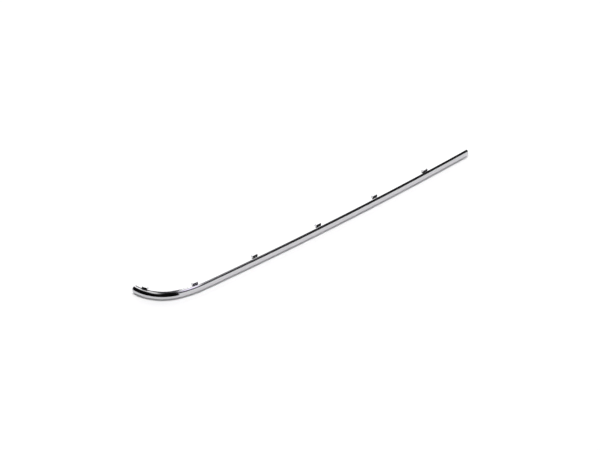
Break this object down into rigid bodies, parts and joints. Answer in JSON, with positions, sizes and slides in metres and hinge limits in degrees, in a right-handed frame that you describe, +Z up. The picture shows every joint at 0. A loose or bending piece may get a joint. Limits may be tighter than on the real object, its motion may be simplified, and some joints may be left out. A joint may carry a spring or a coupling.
{
  "type": "bumper trim strip",
  "caption": "Bright plated bumper trim strip with a round face and hollow back, gently bowed and bent round the corner at one end, with six fixing tabs along its upper flange.",
  "frame": {"origin": "bottom centre of the strip's box, level with the underside of the lower flange", "axes": "+X along the long leg from the bent corner to the joint end, -Y the way the round face of the long leg looks, +Z up as on the car"},
  "size_m": [0.9064, 0.1366, 0.021],
  "materials": {
    "chrome": "bright chrome plating on moulded plastic"
  },
  "bodies": {
    "root": {"trim_strip": "chrome"}
  },
  "joints": []
}
